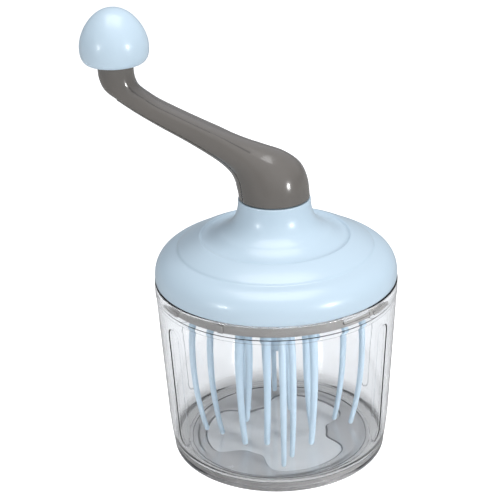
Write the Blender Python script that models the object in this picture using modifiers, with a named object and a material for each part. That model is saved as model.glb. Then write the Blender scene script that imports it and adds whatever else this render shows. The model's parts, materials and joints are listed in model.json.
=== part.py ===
"""Hand-crank whisk bowl, built as separate pieces, in metres with +Z up.

A clear cup stands on a soft base pad. A twist-lock lid holds a planetary gear train, which turns the
whisk four times for each turn of the crank arm. The origin is the middle of the pad's underside, and
the knob end of the arm points towards -X.
"""

import math

import bmesh
import bpy
from mathutils import Matrix, Vector

# Gaps: GAP between fixed neighbours, RUN between a shaft and its bearing.
GAP = 0.0003
RUN = 0.0002

# Cup and base pad.
PAD_R = 0.0515
PAD_HEIGHT = 0.0034
PAD_LIP = 0.0015
PAD_FLOOR = 0.0014
FOOT_R = 0.0597
FOOT_BOTTOM = 0.0006
FLOOR_TOP = 0.0050
CUP_TOP = 0.1019
COLLAR_R = 0.0663
COLLAR_BOTTOM = 0.0948
MOUTH_R = 0.0636
CLOVER_R = 0.0420
LOBE_DEPTH = 0.0145
LOBE_ANGLE = 118.0
LOBE_HALF_WIDTH = math.radians(21.0)
FLUTE_ANGLES = (31.0, 149.0, 212.5, 329.0)
FLUTE_R = 0.0150
FLUTE_DEPTH = 0.0009

# Lid.
RIM_R = 0.0660
RIM_BOTTOM = 0.1023
NECK_TOP = 0.1467
RING_R = 0.0622
RING_INNER_R = 0.0598
RING_BOTTOM = 0.0940
RING_TOP = 0.1063
PLATE_BOTTOM = 0.1025
PLATE_TOP = 0.1049
PLATE_R = 0.0593
SCREW_CIRCLE_R = 0.0470
LUG_REACH_R = 0.0633
LUG_ANGLE = -50.0
LUG_TURN = 19.0

# Gear train: the ring gear is fixed, the carrier is driven and the sun drives the whisk.
MODULE = 0.00175
PRESSURE = math.radians(25.0)
SUN_TEETH = 12
PLANET_TEETH = 12
RING_TEETH = SUN_TEETH + 2 * PLANET_TEETH
PLANETS = 3
TOOTH_THINNING = 0.00015
GEAR_BOTTOM = 0.1082
GEAR_TOP = 0.1162
RING_GEAR_R = 0.0356
CARRIER_R = 0.0260
CARRIER_BOTTOM = 0.1172
CARRIER_TOP = 0.1200

# Shafts.
SHAFT_R = 0.0050
SHAFT_FLAT = 0.0040
SCREW_R = 0.0019
SLEEVE_R = 0.0080
OUTPUT_TOP = 0.1118
OUTPUT_BOTTOM = 0.0798

# Whisk.
WHISK_HUB_R = 0.0088
WHISK_HUB_TOP = 0.0983
WHISK_HUB_BOTTOM = 0.0560
ARM_Z = 0.0858
TIP_Z = 0.0056
WIRE_R = 0.0018
WHISK_ARMS = 4

# Crank arm and knob.
KNOB_X = -0.0800
KNOB_BOTTOM = 0.2221
STEM_TOP = 0.2209
HUB_BOTTOM = 0.1476
PIN_R = 0.0030

ROUND = 40
SMALL_ROUND = 16

MATERIALS = {
    "lid_blue": ((0.60, 0.76, 0.87), 0.18, 0.0, 1.0),
    "arm_grey": ((0.15, 0.14, 0.135), 0.20, 0.0, 1.0),
    "ring_grey": ((0.30, 0.30, 0.30), 0.35, 0.0, 1.0),
    "cup_clear": ((0.95, 0.97, 0.98), 0.05, 0.0, 0.25),
    "pad_grey": ((0.32, 0.32, 0.34), 0.45, 0.0, 1.0),
    "whisk_blue": ((0.55, 0.72, 0.84), 0.30, 0.0, 1.0),
    "gear_white": ((0.85, 0.85, 0.82), 0.40, 0.0, 1.0),
    "bush_cream": ((0.80, 0.78, 0.70), 0.35, 0.0, 1.0),
    "steel": ((0.60, 0.60, 0.62), 0.25, 1.0, 1.0),
    "brass": ((0.72, 0.55, 0.25), 0.30, 1.0, 1.0),
    "seal_white": ((0.85, 0.86, 0.87), 0.60, 0.0, 1.0),
    "washer_nylon": ((0.80, 0.80, 0.78), 0.45, 0.0, 1.0),
}


def clear_scene():
    for obj in list(bpy.data.objects):
        bpy.data.objects.remove(obj, do_unlink=True)


def make_collection(name):
    made = bpy.data.collections.new(name)
    bpy.context.scene.collection.children.link(made)
    return made


def make_material(name, color, roughness, metallic, alpha):
    made = bpy.data.materials.new(name)
    made.use_nodes = True
    shader = made.node_tree.nodes["Principled BSDF"]
    shader.inputs["Base Color"].default_value = (*color, 1.0)
    shader.inputs["Roughness"].default_value = roughness
    shader.inputs["Metallic"].default_value = metallic
    shader.inputs["Alpha"].default_value = alpha
    return made


clear_scene()
PARTS = make_collection("whisk_bowl")
CUTTERS = make_collection("cutters")
FINISH = {name: make_material(name, *values) for name, values in MATERIALS.items()}


def polar(radius, degrees, z=0.0):
    """A point at a radius and an azimuth about the Z axis."""
    angle = math.radians(degrees)
    return Vector((radius * math.cos(angle), radius * math.sin(angle), z))


def place(name, data, slot, at=(0.0, 0.0, 0.0)):
    """An object in the parts collection, or a hidden cutter when it has no material slot."""
    obj = bpy.data.objects.new(name, data)
    obj.location = at
    if slot is None:
        CUTTERS.objects.link(obj)
        obj.hide_render = True
        obj.display_type = "WIRE"
        return obj
    PARTS.objects.link(obj)
    data.materials.append(FINISH[slot])
    return obj


def turned(name, profile, slot, steps=ROUND, ring=False, at=(0.0, 0.0, 0.0)):
    """A turned solid: (radius, z) points down the outer side. A ring's profile closes on itself."""
    count = len(profile)
    edges = [(i, i + 1) for i in range(count - 1)]
    if ring:
        edges.append((count - 1, 0))
    mesh = bpy.data.meshes.new(name)
    mesh.from_pydata([(r, 0.0, z) for r, z in profile], edges, [])
    obj = place(name, mesh, slot, at)
    screw = obj.modifiers.new("turn", "SCREW")
    screw.steps = steps
    screw.render_steps = steps
    screw.use_merge_vertices = True
    screw.merge_threshold = 0.00001
    screw.use_smooth_shade = True
    return obj


def tube(name, inner, outer, bottom, top, slot, steps=SMALL_ROUND, at=(0.0, 0.0, 0.0)):
    profile = [(inner, top), (outer, top), (outer, bottom), (inner, bottom)]
    return turned(name, profile, slot, steps, ring=True, at=at)


def rod(name, radius, bottom, top, slot, steps=SMALL_ROUND, at=(0.0, 0.0, 0.0)):
    profile = [(0.0, top), (radius, top), (radius, bottom), (0.0, bottom)]
    return turned(name, profile, slot, steps, at=at)


def screw_piece(name, head_r, head_bottom, head_top, shank_r, shank_top, slot, at=(0.0, 0.0, 0.0)):
    """A pan-head screw that points up, with its head at the bottom."""
    chamfer = 0.2 * head_r
    profile = [
        (0.0, shank_top),
        (shank_r, shank_top),
        (shank_r, head_top),
        (head_r, head_top),
        (head_r, head_bottom + chamfer),
        (head_r - chamfer, head_bottom),
        (0.0, head_bottom),
    ]
    return turned(name, profile, slot, 12, at=at)


def circle(radius, count=SMALL_ROUND, center=(0.0, 0.0)):
    step = math.tau / count
    return [
        (center[0] + radius * math.cos(i * step), center[1] + radius * math.sin(i * step))
        for i in range(count)
    ]


def flatted(radius, flat, count=20):
    """A round outline with one flat at x = flat."""
    half = math.acos(flat / radius)
    step = (math.tau - 2 * half) / (count - 1)
    return [
        (radius * math.cos(half + i * step), radius * math.sin(half + i * step))
        for i in range(count)
    ]


def sector(inner, outer, start, end, count=5):
    """An arc-shaped outline between two radii and two azimuths in degrees."""
    angles = [math.radians(start + (end - start) * i / (count - 1)) for i in range(count)]
    far = [(outer * math.cos(a), outer * math.sin(a)) for a in angles]
    near = [(inner * math.cos(a), inner * math.sin(a)) for a in reversed(angles)]
    return far + near


def meshed(curve_object, name, slot):
    """The curve object's evaluated mesh as a new object, with its caps welded."""
    bpy.context.view_layer.update()
    graph = bpy.context.evaluated_depsgraph_get()
    mesh = bpy.data.meshes.new_from_object(curve_object.evaluated_get(graph))
    world = curve_object.matrix_world.copy()
    bpy.data.objects.remove(curve_object, do_unlink=True)
    welder = bmesh.new()
    welder.from_mesh(mesh)
    bmesh.ops.remove_doubles(welder, verts=welder.verts, dist=0.000001)
    bmesh.ops.recalc_face_normals(welder, faces=welder.faces)
    welder.to_mesh(mesh)
    welder.free()
    mesh.materials.clear()
    obj = place(name, mesh, slot)
    obj.matrix_world = world
    return obj


def flat_piece(name, outlines, bottom, top, slot, at=(0.0, 0.0)):
    """A flat plate between two heights, from an outline and the holes inside it."""
    curve = bpy.data.curves.new(name + "_outline", "CURVE")
    curve.dimensions = "2D"
    curve.fill_mode = "BOTH"
    curve.extrude = (top - bottom) / 2
    for outline in outlines:
        spline = curve.splines.new("POLY")
        spline.points.add(len(outline) - 1)
        for point, (x, y) in zip(spline.points, outline):
            point.co = (x, y, 0.0, 1.0)
        spline.use_cyclic_u = True
    guide = place(name + "_outline", curve, None, (at[0], at[1], (top + bottom) / 2))
    return meshed(guide, name, slot)


def wire(name, points, radii, slot):
    """A tapered round wire through the points."""
    curve = bpy.data.curves.new(name + "_path", "CURVE")
    curve.dimensions = "3D"
    curve.bevel_depth = 1.0
    curve.bevel_resolution = 1
    curve.use_fill_caps = True
    spline = curve.splines.new("POLY")
    spline.points.add(len(points) - 1)
    for point, place_at, radius in zip(spline.points, points, radii):
        point.co = (*place_at, 1.0)
        point.radius = radius
    return meshed(place(name + "_path", curve, None), name, slot)


def combine(obj, other, operation):
    """A Boolean of the object with a helper in the cutters collection."""
    boolean = obj.modifiers.new(operation.lower(), "BOOLEAN")
    boolean.operation = operation
    boolean.object = other
    boolean.solver = "EXACT"


def arc_points(start, control, end, count):
    """Points on the curve from start to end that bends towards control, without its first point."""
    found = []
    for i in range(1, count + 1):
        t = i / count
        found.append(
            tuple((1 - t) ** 2 * a + 2 * t * (1 - t) * b + t**2 * c for a, b, c in zip(start, control, end))
        )
    return found


# ---------------------------------------------------------------- cup and base pad


def clover_outline(count=90):
    """A circle with three soft-edged bites out of it."""
    outline = []
    for i in range(count):
        angle = math.tau * i / count
        radius = CLOVER_R
        for lobe in range(3):
            off = angle - math.radians(LOBE_ANGLE + 120.0 * lobe)
            off = abs((off + math.pi) % math.tau - math.pi)
            radius -= LOBE_DEPTH / (1.0 + (off / LOBE_HALF_WIDTH) ** 5)
        outline.append((radius * math.cos(angle), radius * math.sin(angle)))
    return outline


def make_base_pad():
    corner = 0.0006
    lip_inner = PAD_R - PAD_LIP
    profile = [
        (0.0, PAD_FLOOR),
        (lip_inner, PAD_FLOOR),
        (lip_inner, PAD_HEIGHT),
        (PAD_R, PAD_HEIGHT),
        (PAD_R, corner),
        (PAD_R - corner, 0.0),
        (0.0, 0.0),
    ]
    pad = turned("base_pad", profile, "pad_grey")
    recess = flat_piece("clover_recess", [clover_outline()], PAD_FLOOR - 0.0008, PAD_FLOOR + 0.002, None)
    combine(pad, recess, "DIFFERENCE")


def make_cup():
    spigot_r = PAD_R - PAD_LIP - GAP
    shoulder = PAD_HEIGHT + GAP
    outer_foot = (0.0601, 0.0038)
    outer_low = (0.0622, 0.0230)
    outer_high = (0.0656, 0.0933)
    inner_low = (0.0590, 0.0085)
    inner_bend = (0.0588, FLOOR_TOP)
    floor_edge = (0.0555, FLOOR_TOP)
    profile = [(0.0, FLOOR_TOP)]
    profile += [floor_edge]
    profile += arc_points(floor_edge, inner_bend, inner_low, 4)
    profile += [(MOUTH_R, COLLAR_BOTTOM), (MOUTH_R, CUP_TOP - 0.0005)]
    profile += [(MOUTH_R + 0.0005, CUP_TOP), (COLLAR_R - 0.0008, CUP_TOP), (COLLAR_R, CUP_TOP - 0.0008)]
    profile += [(COLLAR_R, COLLAR_BOTTOM), outer_high, outer_low]
    profile += arc_points(outer_low, (0.0613, 0.0103), outer_foot, 4)
    profile += arc_points(outer_foot, (0.0600, FOOT_BOTTOM + 0.0003), (FOOT_R, FOOT_BOTTOM), 2)
    profile += [(PAD_R + GAP, FOOT_BOTTOM), (PAD_R + GAP, shoulder)]
    profile += [(spigot_r, shoulder), (spigot_r, PAD_FLOOR + GAP), (0.0, PAD_FLOOR + GAP)]
    cup = turned("cup", profile, "cup_clear")
    slope = math.atan2(outer_high[0] - outer_low[0], outer_high[1] - outer_low[1])
    for i, azimuth in enumerate(FLUTE_ANGLES):
        combine(cup, flute_cutter(i, azimuth, slope, outer_low, outer_high), "DIFFERENCE")
    for i in range(3):
        middle = LUG_ANGLE + 120.0 * i
        outline = sector(0.0625, MOUTH_R + 0.0010, middle - 8.0, middle + 8.0)
        combine(cup, flat_piece(f"cup_lug_{i}", [outline], 0.0974, 0.0990, None), "UNION")


def flute_cutter(index, azimuth, slope, low, high):
    """A capsule that leans with the wall and cuts a shallow flute with round ends."""
    half_length = 0.0250
    end_rows = 4
    turns = [math.pi / 2 * i / end_rows for i in range(end_rows + 1)]
    dome = [(FLUTE_R * math.sin(a), half_length + FLUTE_R * math.cos(a)) for a in turns]
    profile = dome + [(r, -z) for r, z in reversed(dome)]
    cutter = turned(f"flute_cutter_{index}", profile, None, 24)
    middle_z = 0.0505
    share = (middle_z - low[1]) / (high[1] - low[1])
    wall_r = low[0] + share * (high[0] - low[0])
    lean = Matrix.Rotation(slope, 4, "Y")
    turn = Matrix.Rotation(math.radians(azimuth), 4, "Z")
    out = Matrix.Translation((wall_r + FLUTE_R - FLUTE_DEPTH, 0.0, middle_z))
    cutter.matrix_world = turn @ out @ lean
    return cutter


# ---------------------------------------------------------------- lid


def make_lid_cover():
    outer = [(0.0083, NECK_TOP), (0.0189, NECK_TOP), (0.0195, NECK_TOP - 0.0006)]
    outer += arc_points(outer[-1], (0.0199, 0.1333), (0.0300, 0.1286), 4)
    outer += arc_points(outer[-1], (0.0360, 0.1250), (0.0392, 0.1254), 2)
    outer += [(0.0409, 0.1259), (0.0428, 0.1255)]
    outer += arc_points(outer[-1], (0.0490, 0.1233), (0.0528, 0.1204), 2)
    outer += [(0.0534, 0.1193)]
    outer += arc_points(outer[-1], (0.0661, 0.1158), (RIM_R, 0.1043), 4)
    outer += [(RIM_R - 0.0003, RIM_BOTTOM)]
    inner = [(RING_R + 0.0004, RIM_BOTTOM), (RING_R + 0.0004, 0.1076)]
    inner += arc_points(inner[-1], (0.0615, 0.1150), (0.0525, 0.1174), 2)
    inner += [(0.0420, 0.1228), (0.0382, 0.1228), (0.0382, 0.1070), (0.0359, 0.1070)]
    inner += [(0.0359, 0.1224), (0.0285, 0.1266), (0.0215, 0.1328), (0.0178, 0.1440)]
    inner += [(0.0109, 0.1440), (0.0109, 0.1224), (0.0083, 0.1224)]
    cover = turned("lid_cover", outer + inner, "lid_blue", 32, ring=True)
    for i in range(3):
        middle = polar(SCREW_CIRCLE_R, 120.0 * i + 60.0)
        boss = rod(f"screw_boss_{i}", 0.0042, PLATE_TOP + GAP, 0.1213, None, 16, middle)
        combine(cover, boss, "UNION")
    for i in range(3):
        middle = polar(SCREW_CIRCLE_R, 120.0 * i + 60.0)
        bore = rod(f"screw_bore_{i}", 0.0018, PLATE_TOP - 0.001, 0.1173, None, 12, middle)
        combine(cover, bore, "DIFFERENCE")


def make_lid_ring():
    """The skirt that drops into the mouth of the cup, with a seal groove, three lugs and three stops."""
    groove_r = RING_R - 0.0010
    profile = [
        (RING_INNER_R, RING_TOP),
        (RING_R, RING_TOP),
        (RING_R, 0.1015),
        (groove_r, 0.1015),
        (groove_r, 0.0995),
        (RING_R, 0.0995),
        (RING_R, RING_BOTTOM),
        (RING_INNER_R, RING_BOTTOM),
    ]
    ring = turned("lid_ring", profile, "ring_grey", ring=True)
    for i in range(3):
        middle = LUG_ANGLE + LUG_TURN + 120.0 * i
        outline = sector(RING_R - 0.0010, LUG_REACH_R - GAP, middle - 7.0, middle + 7.0)
        combine(ring, flat_piece(f"ring_lug_{i}", [outline], RING_BOTTOM + 0.0002, 0.0970, None), "UNION")
        stop = LUG_ANGLE - 67.0 + 120.0 * i
        outline = sector(RING_R - 0.0010, 0.0630, stop - 1.2, stop + 1.2, 2)
        combine(ring, flat_piece(f"ring_stop_{i}", [outline], RING_BOTTOM + 0.0002, 0.0992, None), "UNION")


def make_lid_seal():
    bottom = 0.0998
    top = 0.1012
    corner = 0.0005
    profile = [
        (RING_R - 0.0007, top),
        (LUG_REACH_R - corner, top),
        (LUG_REACH_R, (top + bottom) / 2),
        (LUG_REACH_R - corner, bottom),
        (RING_R - 0.0007, bottom),
    ]
    turned("lid_seal", profile, "seal_white", ring=True)


def make_lid_plate():
    holes = [circle(0.0019, 12, polar(SCREW_CIRCLE_R, 120.0 * i + 60.0)[:2]) for i in range(3)]
    outlines = [circle(PLATE_R, ROUND), circle(SLEEVE_R + GAP)] + holes
    flat_piece("lid_plate", outlines, PLATE_BOTTOM, PLATE_TOP, "lid_blue")
    for i in range(3):
        middle = polar(SCREW_CIRCLE_R, 120.0 * i + 60.0)
        head_top = PLATE_BOTTOM - GAP
        name = f"plate_screw_{i + 1}"
        screw_piece(name, 0.0030, head_top - 0.0018, head_top, 0.0014, 0.1158, "steel", middle)


def make_bushes():
    """The neck bush carries the crank's shaft, and the output bush carries the whisk's."""
    bore = SHAFT_R + RUN
    neck = [
        (bore, NECK_TOP - 0.0004),
        (SLEEVE_R, NECK_TOP - 0.0004),
        (SLEEVE_R, 0.1221),
        (0.0120, 0.1221),
        (0.0120, 0.1205),
        (bore, 0.1205),
    ]
    turned("neck_bush", neck, "bush_cream", SMALL_ROUND, ring=True)
    output = [
        (bore, GEAR_BOTTOM - GAP),
        (0.0110, GEAR_BOTTOM - GAP),
        (0.0110, PLATE_TOP + GAP),
        (SLEEVE_R, PLATE_TOP + GAP),
        (SLEEVE_R, PLATE_BOTTOM),
        (bore, PLATE_BOTTOM),
    ]
    turned("output_bush", output, "bush_cream", SMALL_ROUND, ring=True)


# ---------------------------------------------------------------- gear train


def involute(angle):
    return math.tan(angle) - angle


def gear_outline(teeth, tip, root, thinning, phase):
    """An involute outline about the origin, with one tooth centred on the phase angle in degrees."""
    pitch_r = MODULE * teeth / 2
    base_r = pitch_r * math.cos(PRESSURE)
    half_tooth = math.pi / (2 * teeth) - thinning / (2 * pitch_r)
    radii = [root, max(min(root, tip), base_r) * 0.3 + pitch_r * 0.7, tip]
    flank = []
    for radius in radii:
        pressure = math.acos(min(1.0, base_r / radius))
        flank.append((radius, half_tooth + involute(PRESSURE) - involute(pressure)))
    outline = []
    for tooth in range(teeth):
        middle = math.radians(phase) + math.tau * tooth / teeth
        sides = [(r, middle - a) for r, a in flank] + [(r, middle + a) for r, a in reversed(flank)]
        outline += [(r * math.cos(a), r * math.sin(a)) for r, a in sides]
    return outline


def outer_gear(teeth, phase):
    pitch_r = MODULE * teeth / 2
    return gear_outline(teeth, pitch_r + 0.80 * MODULE, pitch_r - 1.05 * MODULE, TOOTH_THINNING, phase)


def make_gears():
    ring_pitch_r = MODULE * RING_TEETH / 2
    half_pitch = 180.0 / RING_TEETH
    spaces = gear_outline(
        RING_TEETH, ring_pitch_r + 1.05 * MODULE, ring_pitch_r - 0.75 * MODULE, -TOOTH_THINNING, half_pitch
    )
    outlines = [circle(RING_GEAR_R, ROUND), spaces]
    flat_piece("ring_gear", outlines, PLATE_TOP + GAP, GEAR_TOP + 0.0006, "gear_white")
    sun = [outer_gear(SUN_TEETH, 0.0), flatted(SHAFT_R + GAP, SHAFT_FLAT + GAP)]
    flat_piece("sun_gear", sun, GEAR_BOTTOM, GEAR_TOP, "gear_white")
    spread = MODULE * (SUN_TEETH + PLANET_TEETH) / 2
    for i in range(PLANETS):
        azimuth = 360.0 / PLANETS * i
        middle = polar(spread, azimuth)
        phase = azimuth + 180.0 + 180.0 / PLANET_TEETH
        planet = [outer_gear(PLANET_TEETH, phase), circle(0.0022, 16)]
        flat_piece(
            f"planet_gear_{i + 1}", planet, GEAR_BOTTOM + GAP, GEAR_TOP - GAP, "gear_white", middle[:2]
        )
        screw_piece(f"planet_pin_{i + 1}", 0.0032, 0.1064, 0.1081, 0.0020, CARRIER_TOP, "steel", middle)
    holes = [circle(0.0020 + GAP, 16, polar(spread, 360.0 / PLANETS * i)[:2]) for i in range(PLANETS)]
    carrier = [circle(CARRIER_R, ROUND), flatted(SHAFT_R + GAP, SHAFT_FLAT + GAP)] + holes
    flat_piece("planet_carrier", carrier, CARRIER_BOTTOM, CARRIER_TOP, "gear_white")


# ---------------------------------------------------------------- shafts


def flat_cutter(name, bottom, top):
    """A block that takes the flat off one end of a shaft."""
    depth = 0.004
    bpy.ops.mesh.primitive_cube_add(size=1.0)
    block = bpy.context.object
    block.name = name
    block.data.transform(Matrix.Diagonal((depth, 0.02, top - bottom, 1.0)))
    block.location = (SHAFT_FLAT + depth / 2, 0.0, (top + bottom) / 2)
    for collection in list(block.users_collection):
        collection.objects.unlink(block)
    CUTTERS.objects.link(block)
    block.hide_render = True
    block.display_type = "WIRE"
    return block


def make_shafts():
    top = 0.1613
    shaft = tube("drive_shaft", SCREW_R + GAP, SHAFT_R, CARRIER_BOTTOM, top, "steel")
    combine(shaft, flat_cutter("shaft_flat_top", HUB_BOTTOM - 0.0002, top + 0.001), "DIFFERENCE")
    lower_flat = flat_cutter("shaft_flat_bottom", CARRIER_BOTTOM - 0.001, CARRIER_TOP + 0.0002)
    combine(shaft, lower_flat, "DIFFERENCE")
    head_top = CARRIER_BOTTOM - GAP
    screw_piece("shaft_screw", 0.0036, head_top - 0.0024, head_top, SCREW_R, 0.1676, "steel")
    tube("hub_insert", SCREW_R + GAP, 0.0042, top + 0.0004, 0.1676, "brass")
    tube("thrust_washer", SHAFT_R + RUN, 0.0120, NECK_TOP + GAP, HUB_BOTTOM - GAP, "washer_nylon")
    output = rod("output_shaft", SHAFT_R, OUTPUT_BOTTOM, OUTPUT_TOP, "steel")
    combine(output, flat_cutter("output_flat_top", GEAR_BOTTOM - 0.0001, OUTPUT_TOP + 0.001), "DIFFERENCE")
    combine(output, flat_cutter("output_flat_bottom", OUTPUT_BOTTOM - 0.001, 0.0988), "DIFFERENCE")


# ---------------------------------------------------------------- whisk

# Each arm carries four tines. A row holds a tine's azimuth on the arm and its radius at the top,
# at the widest part of its bow and at the tip.
TINES = (
    (3.0, 0.0400, 0.0478, 0.0415),
    (12.0, 0.0320, 0.0382, 0.0330),
    (43.0, 0.0235, 0.0290, 0.0262),
    (70.0, 0.0120, 0.0172, 0.0200),
)


def tine_path(azimuth, top_r, bow_r, tip_r):
    bow_z = 0.0560
    upper = [(top_r, ARM_Z)] + arc_points((top_r, ARM_Z), (bow_r, ARM_Z - 0.006), (bow_r, bow_z), 3)
    lower = arc_points((bow_r, bow_z), (bow_r, 0.030), (tip_r, TIP_Z), 3)
    return [polar(r, azimuth, z) for r, z in upper + lower]


def arm_path(start):
    """The arm leaves the hub, passes over the inner tines and ends at the outer one."""
    stations = [(WHISK_HUB_R - 0.003, 88.0)] + [(top, azimuth) for azimuth, top, _, _ in reversed(TINES)]
    return [polar(r, azimuth + start, ARM_Z) for r, azimuth in stations]


def make_whisk():
    profile = [
        (0.0, WHISK_HUB_TOP),
        (WHISK_HUB_R - 0.0008, WHISK_HUB_TOP),
        (WHISK_HUB_R, WHISK_HUB_TOP - 0.0008),
        (WHISK_HUB_R, 0.0800),
        (0.0068, 0.0725),
        (0.0045, 0.0640),
        (0.0026, WHISK_HUB_BOTTOM + 0.0010),
        (0.0, WHISK_HUB_BOTTOM),
    ]
    whisk = turned("whisk", profile, "whisk_blue", 20)
    for arm in range(WHISK_ARMS):
        start = 360.0 / WHISK_ARMS * arm
        path = arm_path(start)
        combine(whisk, wire(f"whisk_arm_{arm}", path, [0.0024] * len(path), None), "UNION")
        for index, (azimuth, top_r, bow_r, tip_r) in enumerate(TINES):
            path = tine_path(azimuth + start, top_r, bow_r, tip_r)
            radii = [WIRE_R * (1.0 - 0.25 * i / (len(path) - 1)) for i in range(len(path))]
            combine(whisk, wire(f"whisk_tine_{arm}_{index}", path, radii, None), "UNION")
    socket = flat_piece(
        "whisk_socket", [flatted(SHAFT_R + GAP, SHAFT_FLAT + GAP)], OUTPUT_BOTTOM - GAP, 0.1008, None
    )
    combine(whisk, socket, "DIFFERENCE")


# ---------------------------------------------------------------- crank arm

# Stations from the stem to the hub: the upper and the lower edge of the arm at that station as
# (x, z), half of its width, how square the section is, and where the underside cover begins as a
# share of the half height.
STATIONS = (
    ((-0.0707, STEM_TOP), (-0.0893, STEM_TOP), 0.0093, 2.0, -0.99),
    ((-0.0705, 0.2155), (-0.0889, 0.2148), 0.0093, 2.0, -0.99),
    ((-0.0681, 0.2105), (-0.0865, 0.2088), 0.0093, 2.1, -0.90),
    ((-0.0634, 0.2066), (-0.0805, 0.2033), 0.0094, 2.3, -0.70),
    ((-0.0574, 0.2018), (-0.0713, 0.1967), 0.0092, 2.6, -0.62),
    ((-0.0495, 0.1974), (-0.0598, 0.1892), 0.0090, 2.8, -0.60),
    ((-0.0384, 0.1917), (-0.0478, 0.1819), 0.0093, 2.8, -0.60),
    ((-0.0265, 0.1858), (-0.0372, 0.1750), 0.0100, 2.8, -0.62),
    ((-0.0142, 0.1801), (-0.0286, 0.1683), 0.0113, 2.6, -0.66),
    ((-0.0034, 0.1759), (-0.0231, 0.1623), 0.0132, 2.4, -0.74),
    ((0.0062, 0.1719), (-0.0207, 0.1572), 0.0156, 2.2, -0.80),
    ((0.0142, 0.1654), (-0.0199, 0.1532), 0.0178, 2.1, -0.84),
    ((0.0179, 0.1572), (-0.0193, 0.1504), 0.0188, 2.0, -0.87),
    ((0.0190, HUB_BOTTOM), (-0.0190, HUB_BOTTOM), 0.0190, 2.0, -0.87),
)


def loft(name, rings, slot):
    """A closed skin over rings that each have the same number of points."""
    count = len(rings[0])
    points = [point for ring in rings for point in ring]
    faces = []
    for row in range(len(rings) - 1):
        for i in range(count):
            j = (i + 1) % count
            a = row * count
            b = a + count
            faces.append((a + i, b + i, b + j, a + j))
    faces.append(tuple(range(count)))
    faces.append(tuple((len(rings) - 1) * count + i for i in reversed(range(count))))
    mesh = bpy.data.meshes.new(name)
    mesh.from_pydata([tuple(p) for p in points], [], faces)
    fixer = bmesh.new()
    fixer.from_mesh(mesh)
    bmesh.ops.recalc_face_normals(fixer, faces=fixer.faces)
    bmesh.ops.triangulate(fixer, faces=fixer.faces)
    fixer.to_mesh(mesh)
    fixer.free()
    mesh.shade_smooth()
    return place(name, mesh, slot)


def arm_ring(station, inset, share, upper_side, count=20):
    """The arm's section at a station, above or below a chord at a share of its half height."""
    upper, lower, half_width, square, _ = station
    middle = Vector(((upper[0] + lower[0]) / 2, 0.0, (upper[1] + lower[1]) / 2))
    rise = Vector((upper[0] - lower[0], 0.0, upper[1] - lower[1])) / 2
    shrink = (rise.length - inset) / rise.length
    chord = math.asin(-((-share / shrink) ** (square / 2)))
    start, end = (chord, math.pi - chord) if upper_side else (math.pi - chord, math.tau + chord)
    ring = []
    for i in range(count):
        angle = start + (end - start) * i / (count - 1)
        across = math.copysign(abs(math.cos(angle)) ** (2 / square), math.cos(angle))
        up = math.copysign(abs(math.sin(angle)) ** (2 / square), math.sin(angle)) * shrink
        ring.append(middle + rise * up + Vector((0.0, across * (half_width - inset), 0.0)))
    return ring


def between(first, second, share):
    """A station part of the way from one station to the next."""
    mixed = []
    for a, b in zip(first, second):
        if isinstance(a, tuple):
            mixed.append(tuple(p + (q - p) * share for p, q in zip(a, b)))
        else:
            mixed.append(a + (b - a) * share)
    return mixed


def half_height(station):
    return (Vector(station[0]) - Vector(station[1])).length / 2


def make_crank():
    arm = loft("crank_arm", [arm_ring(s, 0.0, s[4], True) for s in STATIONS], "arm_grey")
    cover = [arm_ring(s, 0.0, s[4] - GAP / half_height(s), False, 12) for s in STATIONS[3:]]
    loft("crank_cover", cover, "arm_grey")
    wall = 0.0020
    inside = [between(STATIONS[4], STATIONS[5], 0.3), *STATIONS[5:8], between(STATIONS[7], STATIONS[8], 0.7)]
    hollow = [arm_ring(s, wall, s[4] - 0.06, True) for s in inside]
    combine(arm, loft("arm_hollow", hollow, None), "DIFFERENCE")
    socket = flat_piece(
        "hub_socket", [flatted(SHAFT_R + GAP, SHAFT_FLAT + GAP)], HUB_BOTTOM - 0.002, 0.1615, None
    )
    combine(arm, socket, "DIFFERENCE")
    combine(arm, rod("insert_pocket", 0.0045, 0.1608, 0.1680, None), "DIFFERENCE")
    pin_hole = rod("pin_hole", PIN_R + GAP, 0.2105, STEM_TOP + 0.002, None, 16, (KNOB_X, 0.0, 0.0))
    combine(arm, pin_hole, "DIFFERENCE")


def make_knob():
    at = (KNOB_X, 0.0, 0.0)
    cavity_r = 0.0078
    cavity_top = 0.2411
    outer = [(0.0, 0.2509)]
    outer += arc_points(outer[-1], (0.0086, 0.2508), (0.0146, 0.2414), 4)
    outer += arc_points(outer[-1], (0.0179, 0.2358), (0.0179, 0.2302), 3)
    outer += arc_points(outer[-1], (0.0179, 0.2250), (0.0152, 0.2229), 3)
    outer += [(0.0130, KNOB_BOTTOM)]
    inner = [(cavity_r, KNOB_BOTTOM), (cavity_r, cavity_top), (0.0, cavity_top)]
    turned("knob", outer + inner, "lid_blue", 32, at=at)
    core_top = 0.2374
    tube("knob_sleeve", PIN_R + RUN, cavity_r - GAP, KNOB_BOTTOM, core_top, "bush_cream", at=at)
    tube("knob_washer", PIN_R + RUN, 0.0080, STEM_TOP + GAP, KNOB_BOTTOM - GAP, "steel", at=at)
    head_bottom = core_top + GAP
    pin = [
        (0.0, head_bottom + 0.0022),
        (0.0042, head_bottom + 0.0022),
        (0.0052, head_bottom + 0.0012),
        (0.0052, head_bottom),
        (PIN_R, head_bottom),
        (PIN_R, 0.2108),
        (0.0, 0.2108),
    ]
    turned("knob_pin", pin, "steel", 16, at=at)


make_base_pad()
make_cup()
make_lid_cover()
make_lid_ring()
make_lid_seal()
make_lid_plate()
make_bushes()
make_gears()
make_shafts()
make_whisk()
make_crank()
make_knob()
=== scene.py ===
"""Looks of the hand-crank whisk bowl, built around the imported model. Metres, +Z up.

The clear cup, the lid, the skirt, the whisk, the crank arm and the knob are made again here as fine
meshes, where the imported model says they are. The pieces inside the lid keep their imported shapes.
"""

import math
from collections import namedtuple

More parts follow.
